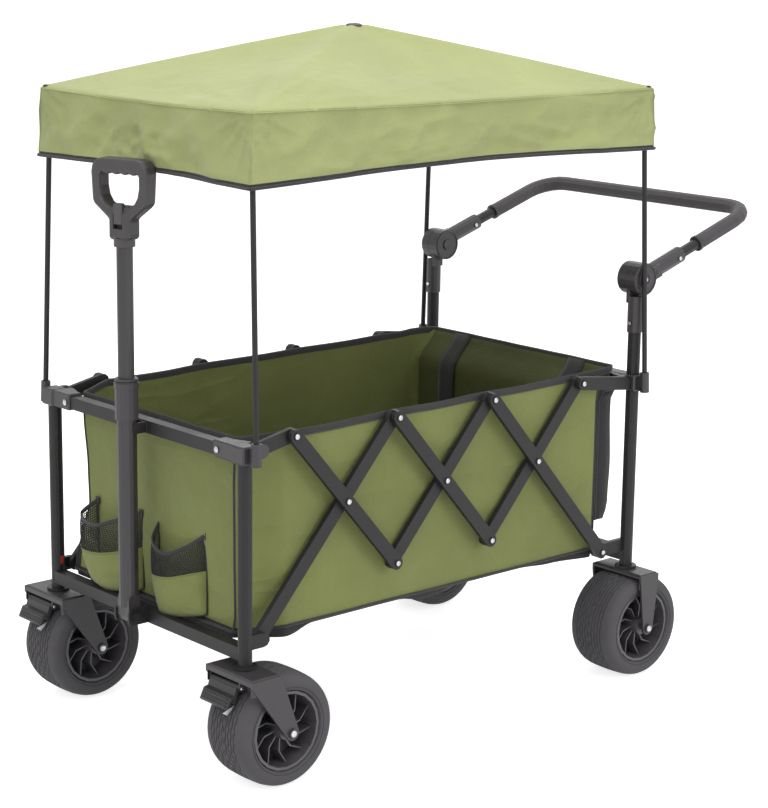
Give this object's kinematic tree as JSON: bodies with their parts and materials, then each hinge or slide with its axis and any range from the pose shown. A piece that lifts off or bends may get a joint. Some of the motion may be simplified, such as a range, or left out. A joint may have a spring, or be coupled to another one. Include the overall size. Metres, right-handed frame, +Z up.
{
  "type": "folding wagon",
  "caption": "Folding wagon with a green cloth bag, pitched canopy on poles, scissor-lattice sides, swivelling front casters, telescopic pull handle and foam-covered push bar.",
  "frame": {"origin": "on the floor midway between the four legs", "axes": "+X to the side the picture shows, -Y to the front with the pull handle, +Z up"},
  "size_m": [0.6226, 1.1935, 1.1001],
  "materials": {
    "painted_steel": "satin powder coat",
    "zinc_steel": "bright zinc",
    "black_plastic": "fine moulded grain",
    "fork_plastic": "fine moulded grain",
    "pedal_plastic": "fine moulded grain",
    "grip_plastic": "fine moulded grain",
    "button_plastic": "smooth moulded",
    "tyre_rubber": "matte foamed rubber",
    "foam": "matte closed-cell foam",
    "canopy_cloth": "plain weave with taped seams",
    "bag_cloth": "plain weave with black binding"
  },
  "bodies": {
    "rear_frame": {"rear_frame": "painted_steel", "rear_top_rail": "painted_steel", "bag": "bag_cloth", "canopy_roof": "canopy_cloth", "canopy_frame": "zinc_steel", "rear_bracket_left": "black_plastic", "rear_pole_left": "painted_steel", "rear_fork_left": "fork_plastic", "hub_lower_left": "black_plastic", "rear_bracket_right": "black_plastic", "rear_pole_right": "painted_steel", "rear_fork_right": "fork_plastic", "hub_lower_right": "black_plastic"},
    "front_frame": {"front_frame": "painted_steel", "front_top_rail": "painted_steel", "front_bracket_left": "black_plastic", "front_pole_left": "painted_steel", "front_bracket_right": "black_plastic", "front_pole_right": "painted_steel"},
    "bars_front_outer": {"bar_front_outer_left": "painted_steel", "bar_front_outer_right": "painted_steel"},
    "bars_front_inner": {"bar_front_inner_left": "painted_steel", "bar_front_inner_right": "painted_steel"},
    "bars_middle_outer": {"bar_middle_outer_left": "painted_steel", "bar_middle_outer_right": "painted_steel"},
    "bars_middle_inner": {"bar_middle_inner_left": "painted_steel", "bar_middle_inner_right": "painted_steel"},
    "bars_rear_outer": {"bar_rear_outer_left": "painted_steel", "bar_rear_outer_right": "painted_steel"},
    "bars_rear_inner": {"bar_rear_inner_left": "painted_steel", "bar_rear_inner_right": "painted_steel"},
    "links_front": {"link_front_left": "painted_steel", "link_front_right": "painted_steel"},
    "links_rear": {"link_rear_left": "painted_steel", "link_rear_right": "painted_steel"},
    "caster_left": {"caster_fork_left": "fork_plastic"},
    "brake_pedal_left": {"brake_pedal_left": "pedal_plastic"},
    "wheel_front_left": {"tyre_front_left": "tyre_rubber", "rim_front_left": "black_plastic"},
    "snap_button_front_left": {"snap_button_front_left": "zinc_steel"},
    "wheel_rear_left": {"tyre_rear_left": "tyre_rubber", "rim_rear_left": "black_plastic"},
    "snap_button_rear_left": {"snap_button_rear_left": "zinc_steel"},
    "caster_right": {"caster_fork_right": "fork_plastic"},
    "brake_pedal_right": {"brake_pedal_right": "pedal_plastic"},
    "wheel_front_right": {"tyre_front_right": "tyre_rubber", "rim_front_right": "black_plastic"},
    "snap_button_front_right": {"snap_button_front_right": "zinc_steel"},
    "wheel_rear_right": {"tyre_rear_right": "tyre_rubber", "rim_rear_right": "black_plastic"},
    "snap_button_rear_right": {"snap_button_rear_right": "zinc_steel"},
    "handle": {"handle_outer_tube": "painted_steel", "handle_sleeve": "black_plastic"},
    "grip": {"handle_inner_tube": "painted_steel", "handle_grip": "grip_plastic"},
    "grip_button": {"grip_button": "button_plastic"},
    "push_bar": {"push_bar": "painted_steel", "push_grip": "foam", "hub_upper_left": "black_plastic", "hub_upper_right": "black_plastic"}
  },
  "joints": [
    {"name": "fold", "type": "hinge", "parent": "rear_frame", "child": "bars_rear_outer", "pos_m": [0, 0.34437, 0.226], "axis": [-1, 0, 0], "range_deg": [0, 33.5], "deforming": ["bag", "canopy_roof", "canopy_frame"]},
    {"name": "fold_middle_inner", "type": "hinge", "parent": "bars_rear_outer", "child": "bars_middle_inner", "pos_m": [0, 0.081, 0.527], "axis": [1, 0, 0], "range_deg": [0, 67]},
    {"name": "fold_middle_outer", "type": "hinge", "parent": "bars_middle_inner", "child": "bars_middle_outer", "pos_m": [0, -0.0205, 0.411], "axis": [1, 0, 0], "range_deg": [-67, 0]},
    {"name": "fold_front_inner", "type": "hinge", "parent": "bars_middle_outer", "child": "bars_front_inner", "pos_m": [0, -0.122, 0.527], "axis": [1, 0, 0], "range_deg": [0, 67]},
    {"name": "fold_front_frame", "type": "hinge", "parent": "bars_front_inner", "child": "front_frame", "pos_m": [0, -0.38538, 0.226], "axis": [1, 0, 0], "range_deg": [-33.5, 0]},
    {"name": "fold_front_outer", "type": "hinge", "parent": "bars_front_inner", "child": "bars_front_outer", "pos_m": [0, -0.2235, 0.411], "axis": [1, 0, 0], "range_deg": [-67, 0]},
    {"name": "fold_rear_inner", "type": "hinge", "parent": "bars_rear_outer", "child": "bars_rear_inner", "pos_m": [0, 0.1825, 0.411], "axis": [1, 0, 0], "range_deg": [0, 67]},
    {"name": "fold_link_front", "type": "hinge", "parent": "front_frame", "child": "links_front", "pos_m": [0, -0.3875, 0.514], "axis": [1, 0, 0], "range_deg": [0, 70.35]},
    {"name": "fold_link_rear", "type": "hinge", "parent": "rear_frame", "child": "links_rear", "pos_m": [0, 0.3875, 0.514], "axis": [1, 0, 0], "range_deg": [-55.61, 0]},
    {"name": "swivel_left", "type": "hinge", "parent": "front_frame", "child": "caster_left", "pos_m": [-0.251, -0.414, 0.186], "axis": [0, 0, 1], "continuous": true},
    {"name": "spin_front_left", "type": "hinge", "parent": "caster_left", "child": "wheel_front_left", "pos_m": [-0.251, -0.3682, 0.089], "axis": [1, 0, 0], "continuous": true},
    {"name": "spin_rear_left", "type": "hinge", "parent": "rear_frame", "child": "wheel_rear_left", "pos_m": [-0.251, 0.414, 0.089], "axis": [1, 0, 0], "continuous": true},
    {"name": "brake_left", "type": "hinge", "parent": "caster_left", "child": "brake_pedal_left", "pos_m": [-0.251, -0.436, 0.165], "axis": [1, 0, 0], "range_deg": [0, 10.5]},
    {"name": "swivel_right", "type": "hinge", "parent": "front_frame", "child": "caster_right", "pos_m": [0.251, -0.414, 0.186], "axis": [0, 0, 1], "continuous": true},
    {"name": "spin_front_right", "type": "hinge", "parent": "caster_right", "child": "wheel_front_right", "pos_m": [0.251, -0.3682, 0.089], "axis": [1, 0, 0], "continuous": true},
    {"name": "spin_rear_right", "type": "hinge", "parent": "rear_frame", "child": "wheel_rear_right", "pos_m": [0.251, 0.414, 0.089], "axis": [1, 0, 0], "continuous": true},
    {"name": "brake_right", "type": "hinge", "parent": "caster_right", "child": "brake_pedal_right", "pos_m": [0.251, -0.436, 0.165], "axis": [1, 0, 0], "range_deg": [0, 10.5]},
    {"name": "handle_swing", "type": "hinge", "parent": "front_frame", "child": "handle", "pos_m": [0, -0.447, 0.212], "axis": [1, 0, 0], "range_deg": [0, 95]},
    {"name": "handle_slide", "type": "slide", "parent": "handle", "child": "grip", "axis": [0, 0, 1], "range_m": [-0.188, 0.09]},
    {"name": "grip_press", "type": "slide", "parent": "grip", "child": "grip_button", "axis": [0, 0, -1], "range_m": [0, 0.006], "stiffness_N_per_m": 300},
    {"name": "push_bar_tilt", "type": "hinge", "parent": "rear_frame", "child": "push_bar", "pos_m": [0, 0.422, 0.688], "axis": [1, 0, 0], "range_deg": [-65, 45]},
    {"name": "snap_front_left", "type": "slide", "parent": "rear_frame", "child": "snap_button_front_left", "axis": [0, 1, 0], "range_m": [0, 0.003], "stiffness_N_per_m": 400},
    {"name": "snap_rear_left", "type": "slide", "parent": "rear_frame", "child": "snap_button_rear_left", "axis": [0, -1, 0], "range_m": [0, 0.003], "stiffness_N_per_m": 400},
    {"name": "snap_front_right", "type": "slide", "parent": "rear_frame", "child": "snap_button_front_right", "axis": [0, 1, 0], "range_m": [0, 0.003], "stiffness_N_per_m": 400},
    {"name": "snap_rear_right", "type": "slide", "parent": "rear_frame", "child": "snap_button_rear_right", "axis": [0, -1, 0], "range_m": [0, 0.003], "stiffness_N_per_m": 400}
  ],
  "couplings": [
    {"joint": "fold_middle_inner", "follows": "fold", "ratio": 2},
    {"joint": "fold_middle_outer", "follows": "fold", "ratio": -2},
    {"joint": "fold_front_inner", "follows": "fold", "ratio": 2},
    {"joint": "fold_front_frame", "follows": "fold", "ratio": -1},
    {"joint": "fold_front_outer", "follows": "fold", "ratio": -2},
    {"joint": "fold_rear_inner", "follows": "fold", "ratio": 2},
    {"joint": "fold_link_front", "follows": "fold", "ratio": 2.1},
    {"joint": "fold_link_rear", "follows": "fold", "ratio": -1.66}
  ]
}
